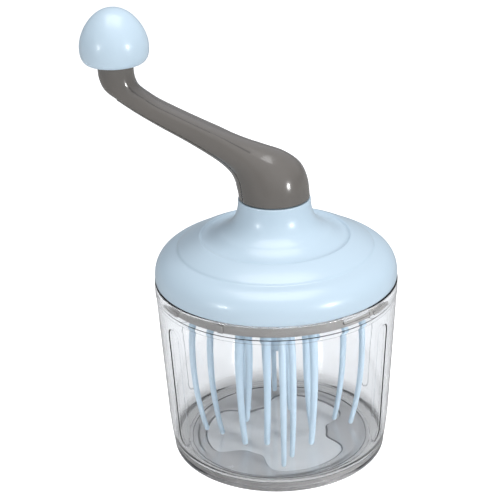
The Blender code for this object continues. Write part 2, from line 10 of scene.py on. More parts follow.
import bmesh
import bpy
from mathutils import Matrix, Vector
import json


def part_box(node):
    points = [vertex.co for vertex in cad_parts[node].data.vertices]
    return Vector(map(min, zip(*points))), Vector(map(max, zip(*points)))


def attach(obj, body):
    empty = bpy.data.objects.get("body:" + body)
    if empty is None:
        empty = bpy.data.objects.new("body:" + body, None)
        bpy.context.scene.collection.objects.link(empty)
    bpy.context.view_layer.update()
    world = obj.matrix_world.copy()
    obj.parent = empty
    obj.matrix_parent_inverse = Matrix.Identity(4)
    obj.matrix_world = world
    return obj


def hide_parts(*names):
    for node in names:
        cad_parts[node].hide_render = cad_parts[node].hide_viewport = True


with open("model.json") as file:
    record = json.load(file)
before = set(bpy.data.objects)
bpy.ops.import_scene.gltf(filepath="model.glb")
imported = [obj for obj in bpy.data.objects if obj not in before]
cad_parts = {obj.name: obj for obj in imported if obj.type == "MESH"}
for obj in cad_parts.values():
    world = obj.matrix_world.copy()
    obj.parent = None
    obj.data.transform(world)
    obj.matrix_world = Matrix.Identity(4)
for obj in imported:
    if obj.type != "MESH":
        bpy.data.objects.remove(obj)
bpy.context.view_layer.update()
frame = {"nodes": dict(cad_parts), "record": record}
SLOT_OF = {row["node"]: row["material_slot"] for row in frame["record"]["subparts"]}
BODY_OF = {node: body for body, nodes in frame["record"]["behaviour"]["bodies"].items() for node in nodes}


def low(node):
    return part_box(node)[0]


def high(node):
    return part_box(node)[1]


# ---------------------------------------------------------------- driving sizes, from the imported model

PAD_R = high("base_pad").x
PAD_HEIGHT = high("base_pad").z
CUP_TOP = high("cup").z
COLLAR_R = high("cup").x
RIM_R = high("lid_cover").x
RIM_BOTTOM = low("lid_cover").z
NECK_TOP = high("lid_cover").z
RING_TOP = high("lid_ring").z
RING_BOTTOM = low("lid_ring").z
HUB_BOTTOM = low("crank_arm").z
STEM_TOP = high("crank_arm").z
KNOB_X = (low("knob").x + high("knob").x) / 2
KNOB_BOTTOM = low("knob").z
KNOB_TOP = high("knob").z
WHISK_TOP = high("whisk").z
WHISK_TIP = low("whisk").z

FINE = 192

# ---------------------------------------------------------------- camera, light and floor

CAMERA_HEIGHT = 0.3973
CAMERA_BACK = 0.6477
CAMERA_PITCH = math.radians(23.45)
CAMERA_YAW = math.radians(-1.22)
CAMERA_ROLL = math.radians(-1.67)
CAMERA_LENS = 93.6
CAMERA_SENSOR = 36.0
STUDIO_CENTRE = Vector((0.0, 0.0, 0.13))
WORLD_TINT = (0.97, 1.0, 1.07)
# Tones of the studio as (position, tone) stops: from left to right, and from below to above.
WORLD_ACROSS = ((0.0, 0.22), (0.16, 0.28), (0.34, 0.60), (0.66, 0.86), (0.84, 0.66), (1.0, 0.48))
WORLD_UPWARD = ((0.0, 0.85), (0.49, 0.60), (0.52, 0.30), (0.58, 0.34), (0.70, 0.72), (1.0, 0.85))
WORLD_MIRRORED = 0.75
FLOOR_ALBEDO = 0.86
FLOOR_GLOW_SEEN = 0.65
FLOOR_GLOW = 0.25
FLOOR_GLOW_DIFFUSE = 0.17
FLOOR_MIRRORED = 0.30


def make_camera():
    flat = math.cos(CAMERA_PITCH)
    forward = Vector((math.sin(CAMERA_YAW) * flat, math.cos(CAMERA_YAW) * flat, -math.sin(CAMERA_PITCH)))
    right = forward.cross(Vector((0.0, 0.0, 1.0))).normalized()
    up = right.cross(forward)
    turned_right = math.cos(CAMERA_ROLL) * right + math.sin(CAMERA_ROLL) * up
    turned_up = math.cos(CAMERA_ROLL) * up - math.sin(CAMERA_ROLL) * right
    axes = Matrix((turned_right, turned_up, -forward)).transposed().to_4x4()
    data = bpy.data.cameras.new("camera")
    data.lens = CAMERA_LENS
    data.sensor_width = CAMERA_SENSOR
    data.clip_start = 0.01
    data.clip_end = 50.0
    camera = bpy.data.objects.new("camera", data)
    camera.matrix_world = Matrix.Translation((0.0, -CAMERA_BACK, CAMERA_HEIGHT)) @ axes
    bpy.context.scene.collection.objects.link(camera)
    bpy.context.scene.camera = camera


def softbox(name, azimuth, elevation, distance, size, power, shape="RECTANGLE"):
    """An area light that faces the object. Azimuth 0 is the front and 90 the right-hand side."""
    a = math.radians(azimuth)
    e = math.radians(elevation)
    away = Vector((math.sin(a) * math.cos(e), -math.cos(a) * math.cos(e), math.sin(e)))
    data = bpy.data.lights.new(name, "AREA")
    data.shape = shape
    data.size = size[0]
    if shape == "RECTANGLE":
        data.size_y = size[1]
    data.energy = power
    light = bpy.data.objects.new(name, data)
    light.location = STUDIO_CENTRE + away * distance
    light.rotation_mode = "QUATERNION"
    light.rotation_quaternion = away.to_track_quat("Z", "Y")
    bpy.context.scene.collection.objects.link(light)


def make_lights():
    softbox("light_overhead", 0.0, 85.0, 1.05, (0.85, 0.70), 6.4)
    softbox("light_right", 49.0, 14.0, 1.00, (0.13, 0.13), 3.2, "DISK")
    softbox("light_left", -49.0, 14.0, 1.00, (0.15, 0.15), 1.3, "DISK")


def tone_ramp(tree, value, tones):
    """A grey that follows the value from -1 to 1 through (position, tone) stops."""
    remap = tree.nodes.new("ShaderNodeMapRange")
    remap.inputs["From Min"].default_value = -1.0
    tree.links.new(value, remap.inputs["Value"])
    ramp = tree.nodes.new("ShaderNodeValToRGB")
    stops = ramp.color_ramp.elements
    for stop, (position, tone) in zip((stops[0], stops[1]), (tones[0], tones[-1])):
        stop.position = position
        stop.color = (tone, tone, tone, 1.0)
    for position, tone in tones[1:-1]:
        stops.new(position).color = (tone, tone, tone, 1.0)
    tree.links.new(remap.outputs[0], ramp.inputs["Fac"])
    return ramp.outputs["Color"]


def mirrored(tree, path):
    """1 for a ray that a glossy surface reflects, 0 for every other ray."""
    both = tree.nodes.new("ShaderNodeMath")
    both.operation = "MULTIPLY"
    tree.links.new(path.outputs["Is Glossy Ray"], both.inputs[0])
    tree.links.new(path.outputs["Is Reflection Ray"], both.inputs[1])
    return both.outputs[0]


def studio_tones(tree):
    """Colour of the studio by direction: the tones across times the tones upward, slightly cool."""
    where = tree.nodes.new("ShaderNodeTexCoord")
    split = tree.nodes.new("ShaderNodeSeparateXYZ")
    tree.links.new(where.outputs["Generated"], split.inputs[0])
    across = tone_ramp(tree, split.outputs["X"], WORLD_ACROSS)
    upward = tone_ramp(tree, split.outputs["Z"], WORLD_UPWARD)
    both = tree.nodes.new("ShaderNodeMix")
    both.data_type = "RGBA"
    both.blend_type = "MULTIPLY"
    both.inputs["Factor"].default_value = 1.0
    sides = [socket for socket in both.inputs if socket.type == "RGBA"]
    tree.links.new(across, sides[0])
    tree.links.new(upward, sides[1])
    cool = tree.nodes.new("ShaderNodeVectorMath")
    cool.operation = "MULTIPLY"
    cool.inputs[1].default_value = WORLD_TINT
    tree.links.new(next(s for s in both.outputs if s.type == "RGBA"), cool.inputs[0])
    return cool.outputs[0]


def make_world():
    """A white studio behind the object. What lights and mirrors in it is darker towards its sides,
    which draws the edges of clear plastic.
    """
    world = bpy.data.worlds.new("studio")
    world.use_nodes = True
    bpy.context.scene.world = world
    tree = world.node_tree
    tree.nodes.clear()
    output = tree.nodes.new("ShaderNodeOutputWorld")
    seen = tree.nodes.new("ShaderNodeBackground")
    seen.inputs["Color"].default_value = (1.0, 1.0, 1.0, 1.0)
    lit = tree.nodes.new("ShaderNodeBackground")
    mix = tree.nodes.new("ShaderNodeMixShader")
    path = tree.nodes.new("ShaderNodeLightPath")
    tree.links.new(studio_tones(tree), lit.inputs["Color"])
    fade = tree.nodes.new("ShaderNodeMapRange")
    fade.inputs["To Min"].default_value = 1.0
    fade.inputs["To Max"].default_value = WORLD_MIRRORED
    tree.links.new(mirrored(tree, path), fade.inputs["Value"])
    tree.links.new(fade.outputs[0], lit.inputs["Strength"])
    tree.links.new(path.outputs["Is Camera Ray"], mix.inputs["Fac"])
    tree.links.new(lit.outputs[0], mix.inputs[1])
    tree.links.new(seen.outputs[0], mix.inputs[2])
    tree.links.new(mix.outputs[0], output.inputs["Surface"])


def make_floor():
    """A white floor that glows where the camera sees it, less for other rays, and least in reflections."""
    bpy.ops.mesh.primitive_circle_add(vertices=96, radius=4.0, fill_type="NGON")
    floor = bpy.context.object
    floor.name = "floor"
    made = bpy.data.materials.new("floor_white")
    made.use_nodes = True
    tree = made.node_tree
    shader = tree.nodes["Principled BSDF"]
    shader.inputs["Base Color"].default_value = (FLOOR_ALBEDO, FLOOR_ALBEDO, FLOOR_ALBEDO, 1.0)
    shader.inputs["Roughness"].default_value = 0.9
    shader.inputs["Specular IOR Level"].default_value = 0.1
    shader.inputs["Emission Color"].default_value = (1.0, 1.0, 1.0, 1.0)
    path = tree.nodes.new("ShaderNodeLightPath")
    glow = tree.nodes.new("ShaderNodeMapRange")
    glow.inputs["To Min"].default_value = FLOOR_GLOW
    glow.inputs["To Max"].default_value = FLOOR_GLOW_SEEN
    bounced = tree.nodes.new("ShaderNodeMath")
    bounced.operation = "MULTIPLY_ADD"
    bounced.inputs[1].default_value = FLOOR_GLOW_DIFFUSE - FLOOR_GLOW
    tree.links.new(path.outputs["Is Camera Ray"], glow.inputs["Value"])
    tree.links.new(path.outputs["Is Diffuse Ray"], bounced.inputs[0])
    tree.links.new(glow.outputs[0], bounced.inputs[2])
    tree.links.new(bounced.outputs[0], shader.inputs["Emission Strength"])
    dim = tree.nodes.new("ShaderNodeEmission")
    dim.inputs["Strength"].default_value = FLOOR_MIRRORED
    mix = tree.nodes.new("ShaderNodeMixShader")
    tree.links.new(mirrored(tree, path), mix.inputs["Fac"])
    tree.links.new(shader.outputs[0], mix.inputs[1])
    tree.links.new(dim.outputs[0], mix.inputs[2])
    tree.links.new(mix.outputs[0], tree.nodes["Material Output"].inputs["Surface"])
    made.cycles.emission_sampling = "NONE"
    floor.data.materials.append(made)


# ---------------------------------------------------------------- materials


class Nodes:
    """A material's node tree, with short ways to add and link nodes."""

    def __init__(self, name):
        self.material = bpy.data.materials.new(name)
        self.material.use_nodes = True
        self.tree = self.material.node_tree
        self.shader = self.tree.nodes["Principled BSDF"]
        self.output = self.tree.nodes["Material Output"]
        self.where = self.tree.nodes.new("ShaderNodeTexCoord").outputs["Object"]

    def link(self, source, target):
        self.tree.links.new(source, target)

    def noise(self, scale, detail=2.0, stretch=None, distortion=0.0):
        node = self.tree.nodes.new("ShaderNodeTexNoise")
        node.inputs["Scale"].default_value = scale
        node.inputs["Detail"].default_value = detail
        node.inputs["Distortion"].default_value = distortion
        place = self.where
        if stretch:
            mapping = self.tree.nodes.new("ShaderNodeMapping")
            mapping.inputs["Scale"].default_value = stretch
            self.link(place, mapping.inputs["Vector"])
            place = mapping.outputs["Vector"]
        self.link(place, node.inputs["Vector"])
        return node.outputs["Fac"]

    def spread(self, value, least, most, start=0.3, stop=0.7):
        """The value stretched from start..stop to least..most."""
        node = self.tree.nodes.new("ShaderNodeMapRange")
        node.inputs["From Min"].default_value = start
        node.inputs["From Max"].default_value = stop
        node.inputs["To Min"].default_value = least
        node.inputs["To Max"].default_value = most
        self.link(value, node.inputs["Value"])
        return node.outputs[0]

    def tones(self, factor, first, second):
        node = self.tree.nodes.new("ShaderNodeMix")
        node.data_type = "RGBA"
        node.inputs["A"].default_value = (*first, 1.0)
        node.inputs["B"].default_value = (*second, 1.0)
        for socket in node.inputs:
            if socket.type == "VALUE" and socket.name == "Factor":
                self.link(factor, socket)
                break
        return next(s for s in node.outputs if s.type == "RGBA")

    def bump(self, height, depth, strength=1.0, before=None):
        node = self.tree.nodes.new("ShaderNodeBump")
        node.inputs["Strength"].default_value = strength
        node.inputs["Distance"].default_value = depth
        self.link(height, node.inputs["Height"])
        if before:
            self.link(before, node.inputs["Normal"])
        return node.outputs["Normal"]


def shade(color, share):
    """The colour, lighter or darker by a share."""
    return tuple(min(1.0, c * share) for c in color)


def plastic(name, color, roughness, variation=0.02, grain=0.000006, coat=0.0, polish=0.08, specular=0.5):
    """Moulded plastic: slight flow marks in the colour, an uneven gloss and a fine skin texture.

    polish is the roughness of its clear coat, if it has one.
    """
    n = Nodes(name)
    flow = n.noise(28.0, 2.0)
    dark, light = shade(color, 1.0 - variation), shade(color, 1.0 + variation)
    n.link(n.tones(n.spread(flow, 0.0, 1.0, 0.1, 0.9), dark, light), n.shader.inputs["Base Color"])
    handling = n.noise(40.0, 1.5)
    n.link(n.spread(handling, roughness * 0.94, roughness * 1.06, 0.1, 0.9), n.shader.inputs["Roughness"])
    skin = n.bump(n.noise(2600.0, 1.0), grain)
    n.link(n.bump(n.noise(160.0, 1.0), grain * 0.5, before=skin), n.shader.inputs["Normal"])
    n.shader.inputs["IOR"].default_value = 1.53
    n.shader.inputs["Specular IOR Level"].default_value = specular
    if coat:
        n.shader.inputs["Coat Weight"].default_value = coat
        n.shader.inputs["Coat Roughness"].default_value = polish
    return n.material


def rubber(name, color, roughness):
    """Soft moulded rubber: a faint bloom in the colour and a matt, finely pitted skin."""
    n = Nodes(name)
    dust = n.spread(n.noise(55.0, 5.0, distortion=0.8), 0.0, 1.0)
    n.link(n.tones(dust, shade(color, 0.95), shade(color, 1.05)), n.shader.inputs["Base Color"])
    n.link(n.spread(n.noise(120.0, 3.0), roughness * 0.85, roughness * 1.15), n.shader.inputs["Roughness"])
    n.link(n.bump(n.noise(1400.0, 2.0), 0.00002), n.shader.inputs["Normal"])
    n.shader.inputs["IOR"].default_value = 1.43
    return n.material


def clear_plastic(name, tint, roughness, foot_shade=None):
    """Clear moulded plastic. Shadow rays pass straight through it, so that what is inside stays lit.

    Its last argument, (low, high, share), darkens the colour towards its foot: painted shade for the pad's
    grey seen through it.
    """
    n = Nodes(name)
    flow = n.noise(18.0, 2.0, stretch=(1.0, 1.0, 0.35))
    clear = n.tones(n.spread(flow, 0.0, 1.0), shade(tint, 0.985), tint)
    if foot_shade:
        height = n.tree.nodes.new("ShaderNodeSeparateXYZ")
        n.link(n.where, height.inputs[0])
        scale = n.tree.nodes.new("ShaderNodeVectorMath")
        scale.operation = "SCALE"
        n.link(clear, scale.inputs[0])
        n.link(n.spread(height.outputs["Z"], foot_shade[2], 1.0, foot_shade[0], foot_shade[1]), scale.inputs["Scale"])
        clear = scale.outputs[0]
    n.link(clear, n.shader.inputs["Base Color"])
    n.link(n.spread(n.noise(70.0, 3.0), roughness * 0.5, roughness * 1.5), n.shader.inputs["Roughness"])
    n.link(n.bump(n.noise(30.0, 0.0), 0.000004, 0.5), n.shader.inputs["Normal"])
    n.shader.inputs["IOR"].default_value = 1.49
    n.shader.inputs["Transmission Weight"].default_value = 1.0
    through = n.tree.nodes.new("ShaderNodeBsdfTransparent")
    through.inputs["Color"].default_value = (1.0, 1.0, 1.0, 1.0)
    mix = n.tree.nodes.new("ShaderNodeMixShader")
    path = n.tree.nodes.new("ShaderNodeLightPath")
    n.link(path.outputs["Is Shadow Ray"], mix.inputs["Fac"])
    n.link(n.shader.outputs[0], mix.inputs[1])
    n.link(through.outputs[0], mix.inputs[2])
    n.link(mix.outputs[0], n.output.inputs["Surface"])
    return n.material


def turned_metal(name, color, roughness, worn=0.1):
    """Turned metal: fine rings from the lathe and a slightly uneven polish."""
    n = Nodes(name)
    tool = n.noise(900.0, 2.0, stretch=(0.06, 0.06, 1.0))
    dark, light = shade(color, 1.0 - worn), shade(color, 1.0 + worn)
    n.link(n.tones(n.spread(tool, 0.0, 1.0), dark, light), n.shader.inputs["Base Color"])
    n.link(n.spread(n.noise(300.0, 3.0), roughness * 0.7, roughness * 1.3), n.shader.inputs["Roughness"])
    n.link(n.bump(tool, 0.00001), n.shader.inputs["Normal"])
    n.shader.inputs["Metallic"].default_value = 1.0
    return n.material


BLUE = (0.574, 0.711, 0.812)
MATERIALS = {
    "lid_blue": plastic("lid_blue", BLUE, 0.29, 0.003, grain=0.000003, coat=0.15),
    "whisk_blue": plastic("whisk_blue", (0.57, 0.72, 0.84), 0.34, 0.02),
    "arm_grey": plastic("arm_grey", (0.160, 0.147, 0.133), 0.24, 0.05, coat=0.90, polish=0.11, specular=0.3),
    "ring_grey": plastic("ring_grey", (0.290, 0.278, 0.266), 0.34, 0.03),
    "gear_white": plastic("gear_white", (0.80, 0.80, 0.77), 0.42, 0.03, grain=0.00001),
    "bush_cream": plastic("bush_cream", (0.74, 0.71, 0.62), 0.38, 0.03),
    "washer_nylon": plastic("washer_nylon", (0.74, 0.74, 0.71), 0.45, 0.03),
    "seal_white": rubber("seal_white", (0.78, 0.79, 0.80), 0.5),
    "pad_grey": rubber("pad_grey", (0.57, 0.56, 0.56), 0.42),
    "cup_clear": clear_plastic("cup_clear", (0.950, 0.960, 0.968), 0.02),
    "steel": turned_metal("steel", (0.58, 0.58, 0.60), 0.28),
    "brass": turned_metal("brass", (0.70, 0.52, 0.24), 0.30),
}
# Painted shade: a darker plastic for a thin line along the arm's crease, standing in for the shade in it.
ARM_CREASE_SHADE = plastic("arm_crease_shade", (0.085, 0.078, 0.071), 0.40, 0.05)
PAD_WINDOW = rubber("pad_window", (0.98, 0.985, 0.99), 0.35)
# Painted shade: a near-black rubber on the step round the pad's recess, standing in for the shade in that
# groove.
PAD_EDGE_SHADE = rubber("pad_edge_shade", (0.13, 0.13, 0.14), 0.5)
# Painted shade: a dark grey clear plastic along the flutes' edges and the second line, drawing dark edge
# lines.
CUP_EDGE_SHADE = clear_plastic("cup_edge_shade", (0.24, 0.25, 0.27), 0.05)
# Painted shade: a near-black clear plastic on the ledge under the collar, drawing the dark line there.
CUP_LEDGE_SHADE = clear_plastic("cup_ledge_shade", (0.006, 0.006, 0.008), 0.10)
# Painted shade: this clear plastic darkens towards the foot, standing in for the pad's grey seen through it.
CUP_FOOT_SHADE = clear_plastic("cup_foot", (0.950, 0.955, 0.960), 0.03, foot_shade=(0.0050, 0.0125, 0.61))


# ---------------------------------------------------------------- mesh helpers


def polar(radius, angle, z=0.0):
    return Vector((radius * math.cos(angle), radius * math.sin(angle), z))


def link(name, mesh):
    obj = bpy.data.objects.new(name, mesh)
    bpy.context.scene.collection.objects.link(obj)
    return obj


def finish_piece(obj, *nodes, sharp=35.0):
    """Smooth shading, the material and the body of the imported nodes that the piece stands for."""
    obj.data.shade_smooth()
    obj.data.set_sharp_from_angle(angle=math.radians(sharp))
    slot = SLOT_OF[nodes[0]]
    if not obj.data.materials:
        obj.data.materials.append(MATERIALS[slot])
    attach(obj, BODY_OF[nodes[0]])
    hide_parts(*nodes)
    return obj


def skin(name, rows):
    """A closed skin over rows of points. A row holds one closed loop, or a single point at a pole."""
    mesh = bpy.data.meshes.new(name)
    points = []
    starts = []
    for row in rows:
        starts.append(len(points))
        points += [tuple(p) for p in row]
    faces = []
    for i in range(len(rows) - 1):
        a, b = starts[i], starts[i + 1]
        count_a, count_b = len(rows[i]), len(rows[i + 1])
        for j in range(max(count_a, count_b)):
            k = (j + 1) % max(count_a, count_b)
            if count_a == 1:
                faces.append((a, b + j, b + k))
            elif count_b == 1:
                faces.append((a + j, b, a + k))
            else:
                faces.append((a + j, b + j, b + k, a + k))
    for row, start, flip in ((rows[0], starts[0], False), (rows[-1], starts[-1], True)):
        if len(row) > 1:
            order = range(len(row))
            faces.append(tuple(start + j for j in (reversed(order) if flip else order)))
    mesh.from_pydata(points, [], faces)
    fix_normals(mesh)
    return link(name, mesh)


def fix_normals(mesh):
    """Turns every face outwards."""
    worker = bmesh.new()
    worker.from_mesh(mesh)
    bmesh.ops.recalc_face_normals(worker, faces=worker.faces)
    worker.to_mesh(mesh)
    worker.free()


def lathe(name, profile, steps=FINE, ring=False, at=(0.0, 0.0), angles=None, warp=None):
    """A turned piece from (radius, z) points that run down its outer side. warp may move a point."""
    angles = angles or [math.tau * i / steps for i in range(steps)]
    offset = Vector((at[0], at[1], 0.0))
    rows = []
    for radius, z in profile:
        if radius < 1e-6:
            rows.append([offset + Vector((0.0, 0.0, z))])
            continue
        row = []
        for angle in angles:
            r = warp(radius, z, angle) if warp else radius
            row.append(offset + polar(r, angle, z))
        rows.append(row)
    if ring:
        return closed_ring(name, rows)
    return skin(name, rows)


def closed_ring(name, rows):
    """A ring with a hole: the last row joins the first."""
    mesh = bpy.data.meshes.new(name)
    count = len(rows[0])
    points = [tuple(p) for row in rows for p in row]
    faces = []
    for i in range(len(rows)):
        a = i * count
        b = (i + 1) % len(rows) * count
        faces += [(a + j, b + j, b + (j + 1) % count, a + (j + 1) % count) for j in range(count)]
    mesh.from_pydata(points, [], faces)
    fix_normals(mesh)
    return link(name, mesh)


def rounded(corners, closed=True, segments=4):
    """A profile from (radius, z, fillet) corners, each one replaced by a small arc."""
    count = len(corners)
    found = []
    for i, (r, z, fillet) in enumerate(corners):
        here = Vector((r, z))
        if fillet == 0.0 or (not closed and i in (0, count - 1)):
            found.append((r, z))
            continue
        before = Vector(corners[i - 1][:2]) - here
        after = Vector(corners[(i + 1) % count][:2]) - here
        opening = before.angle(after)
        reach = min(fillet / math.tan(opening / 2), 0.48 * before.length, 0.48 * after.length)
        start = here + before.normalized() * reach
        stop = here + after.normalized() * reach
        for k in range(segments + 1):
            t = k / segments
            point = (1 - t) ** 2 * start + 2 * t * (1 - t) * here + t * t * stop
            found.append((point.x, point.y))
    return found


def bend(start, control, end, count):
    """Points on the curve from start to end that leans towards control, without its first point."""
    found = []
    for i in range(1, count + 1):
        t = i / count
        shares = ((1 - t) ** 2, 2 * t * (1 - t), t * t)
        found.append(tuple(sum(w * p for w, p in zip(shares, axis)) for axis in zip(start, control, end)))
    return found


def catmull(t, a, b, c, d):
    """The value at t between b and c on the smooth curve through all four."""
    bent = (2 * a - 5 * b + 4 * c - d) * t**2
    turned = (3 * b - a - 3 * c + d) * t**3
    return 0.5 * (2 * b + (c - a) * t + bent + turned)


def spline(points, per_span):
    """Points on a smooth curve through the given points (tuples of any length)."""
    found = []
    last = len(points) - 1
    for i in range(last):
        p0, p1, p2, p3 = points[max(i - 1, 0)], points[i], points[i + 1], points[min(i + 2, last)]
        for k in range(per_span):
            t = k / per_span
            found.append(tuple(catmull(t, *span) for span in zip(p0, p1, p2, p3)))
    found.append(tuple(points[-1]))
    return found


def smoothstep(x):
    """0 below 0, 1 above 1, and smooth between."""
    x = max(0.0, min(1.0, x))
    return x * x * (3 - 2 * x)


def join(obj, others):
    """Joins the helpers to the object with one exact Boolean, and removes them."""
    helpers = bpy.data.collections.new("helpers")
    bpy.context.scene.collection.children.link(helpers)
    for other in others:
        for owner in list(other.users_collection):
            owner.objects.unlink(other)
        helpers.objects.link(other)
    joined = obj.modifiers.new("joined", "BOOLEAN")
    joined.operation = "UNION"
    joined.operand_type = "COLLECTION"
    joined.collection = helpers
    joined.solver = "EXACT"
    bpy.context.view_layer.update()
    graph = bpy.context.evaluated_depsgraph_get()
    result = bpy.data.meshes.new_from_object(obj.evaluated_get(graph))
    obj.modifiers.clear()
    obj.data = result
    for other in others:
        bpy.data.objects.remove(other, do_unlink=True)
    bpy.data.collections.remove(helpers)


def sector_block(name, inner, outer, middle, half, bottom, top, count=12):
    """A block between two radii, two heights and two azimuths (degrees)."""
    angles = [math.radians(middle - half + 2 * half * i / (count - 1)) for i in range(count)]
    rows = []
    for z in (bottom, top):
        rows.append([polar(outer, a, z) for a in angles] + [polar(inner, a, z) for a in reversed(angles)])
    return skin(name, rows)


# ---------------------------------------------------------------- cup and base pad

CLOVER_R = 0.0424
LOBE_DEPTH = 0.0145
LOBE_ANGLE = 118.0
LOBE_HALF_WIDTH = math.radians(20.0)
PAD_LIP = 0.0015
PAD_FLOOR = 0.0014
RECESS = 0.0008
GAP = 0.0003

# The bowl. A pair is a radius and a height.
CUP_FLOOR = 0.0050
MOUTH_R = COLLAR_R - 0.0027
LEDGE_Z = CUP_TOP - 0.0071
SECOND_LINE_Z = LEDGE_Z - 0.0024
WALL_LOW = (0.0622, 0.0230)
WALL_HIGH = (COLLAR_R - 0.0003, LEDGE_Z - 0.0004)
WALL_SLOPE = (WALL_HIGH[0] - WALL_LOW[0]) / (WALL_HIGH[1] - WALL_LOW[1])
INNER_LOW = (0.0592, 0.0110)
FOOT_TURN = (0.0601, 0.0038)
FOOT_R = 0.0597
FOOT_SHADE_TOP = 0.0126
LUG_ANGLE = -50.0
LUG_HALF_ANGLE = 8.0
LUG_INNER_R = 0.0625
LUG_LOW = 0.0045
LUG_HIGH = 0.0029

FLUTE_ANGLES = (31.0, 149.0, 212.5, 329.0)
FLUTE_HALF_WIDTH = 0.0053
FLUTE_DEPTH = 0.00030
FLUTE_EDGE = 0.00060
FLUTE_LOW = 0.0190
FLUTE_HIGH = 0.0812
FLUTES_ABOVE = 0.012


def clover(angle):
    """Radius of the pad's recess: a circle with three soft-edged bites."""
    radius = CLOVER_R
    for lobe in range(3):
        off = angle - math.radians(LOBE_ANGLE + 120.0 * lobe)
        off = abs((off + math.pi) % math.tau - math.pi)
        radius -= LOBE_DEPTH / (1.0 + (off / LOBE_HALF_WIDTH) ** 6)
    return radius


def make_pad():
    """The soft foot: a lipped disc, with a clover-shaped recess that shows through the cup's floor."""
    count = 360
    angles = [math.tau * i / count for i in range(count)]
    edge = [clover(a) for a in angles]
    floor = PAD_FLOOR - RECESS

    def ring(radius, z):
        return [polar(radius, a, z) for a in angles]

    def around(offset, z):
        return [polar(e + offset, a, z) for e, a in zip(edge, angles)]

    rows = [[Vector((0.0, 0.0, floor))]]
    for share in (0.15, 0.35, 0.55, 0.75, 0.9):
        rows.append([polar(e * share, a, floor) for e, a in zip(edge, angles)])
    rows.append(around(-0.0010, floor))
    window_rows = len(rows) - 1
    rows += [around(-0.0008, floor - 0.0003), around(-0.0003, floor - 0.0003), around(0.0, floor)]
    rows += [around(0.0001, PAD_FLOOR - 0.0002)]
    edge_shade_rows = len(rows) - 1
    rows += [around(0.0003, PAD_FLOOR - 0.00005), around(0.0007, PAD_FLOOR)]
    inner = PAD_R - PAD_LIP
    for share in (0.3, 0.6):
        rows.append([polar(e + (inner - e) * share, a, PAD_FLOOR) for e, a in zip(edge, angles)])
    lip = rounded(
        [
            (inner - 0.004, PAD_FLOOR, 0.0),
            (inner, PAD_FLOOR, 0.0003),
            (inner, PAD_HEIGHT, 0.0003),
            (PAD_R, PAD_HEIGHT, 0.0003),
            (PAD_R, 0.0, 0.0006),
            (PAD_R - 0.006, 0.0, 0.0),
        ],
        closed=False,
    )
    rows += [ring(r, z) for r, z in lip]
    rows += [ring(PAD_R * 0.5, 0.0), [Vector((0.0, 0.0, 0.0))]]
    pad = skin("pad", rows)
    pad.data.materials.append(MATERIALS["pad_grey"])
    pad.data.materials.append(PAD_WINDOW)
    pad.data.materials.append(PAD_EDGE_SHADE)
    # Faces inside the recess take the window rubber, the rows of its edge the painted shade, the rest the
    # pad's grey.
    for polygon in pad.data.polygons:
        row = polygon.index // count
        polygon.material_index = 1 if row < window_rows else 2 if row < edge_shade_rows else 0
    finish_piece(pad, "base_pad")


def flute_distance(z, angle, radius):
    """Distance over the wall to the spine of the nearest flute."""
    found = []
    for azimuth in FLUTE_ANGLES:
        off = (angle - math.radians(azimuth) + math.pi) % math.tau - math.pi
        beyond = z - max(FLUTE_LOW, min(FLUTE_HIGH, z))
        found.append(math.hypot(off * radius, beyond))
    return min(found)


def flute_depth(z, angle, radius):
    """How far the wall is pressed in at a point, by the nearest flute."""
    inside = FLUTE_HALF_WIDTH - flute_distance(z, angle, radius)
    return FLUTE_DEPTH * smoothstep(inside / FLUTE_EDGE)


def flute_angles():
    """Azimuths round the cup, closer together across each flute."""
    degrees = [2.0 * i for i in range(180)]
    for azimuth in FLUTE_ANGLES:
        degrees = [d for d in degrees if abs((d - azimuth + 180.0) % 360.0 - 180.0) > 5.4]
        degrees += [(azimuth - 5.2 + 0.2 * i) % 360.0 for i in range(53)]
    return [math.radians(d) for d in sorted(degrees)]


def wall_radius(z):
    """Outer radius of the bowl's straight wall at a height."""
    return WALL_LOW[0] + (z - WALL_LOW[1]) * WALL_SLOPE


def wall_heights(top):
    """Heights down the straight wall, closer together at the ends of the flutes."""
    heights = [top]
    while heights[-1] > WALL_LOW[1]:
        z = heights[-1]
        near_end = min(abs(z - FLUTE_HIGH - 0.003), abs(z - FLUTE_LOW + 0.003)) < 0.0032
        heights.append(z - (0.00025 if near_end else 0.0016))
    return heights[1:-1]


def cup_inside():
    """The bowl's floor, its round inner corner and its wall."""
    line = [(radius, CUP_FLOOR) for radius in (0.0, 0.030, 0.0516, 0.0540)]
    line += bend(line[-1], (0.0587, CUP_FLOOR), INNER_LOW, 12)
    out, up = MOUTH_R - INNER_LOW[0], LEDGE_Z - INNER_LOW[1]
    return line + [(INNER_LOW[0] + out * i / 6, INNER_LOW[1] + up * i / 6) for i in range(1, 6)]


def cup_collar():
    """The collar round the bowl's mouth, the ledge under it and the fine second line below that."""
    below_r, below_z = WALL_HIGH
    corners = [
        (MOUTH_R, LEDGE_Z, 0.0),
        (MOUTH_R, CUP_TOP, 0.0007),
        (COLLAR_R, CUP_TOP, 0.0008),
        (COLLAR_R, LEDGE_Z + 0.0003, 0.0),
        (below_r, below_z, 0.0),
        (below_r - 0.0001, SECOND_LINE_Z + 0.0001, 0.0),
        (below_r - 0.0001, SECOND_LINE_Z - 0.0001, 0.0),
        (below_r - 0.0003, below_z - 0.005, 0.0),
    ]
    return rounded(corners, closed=False)


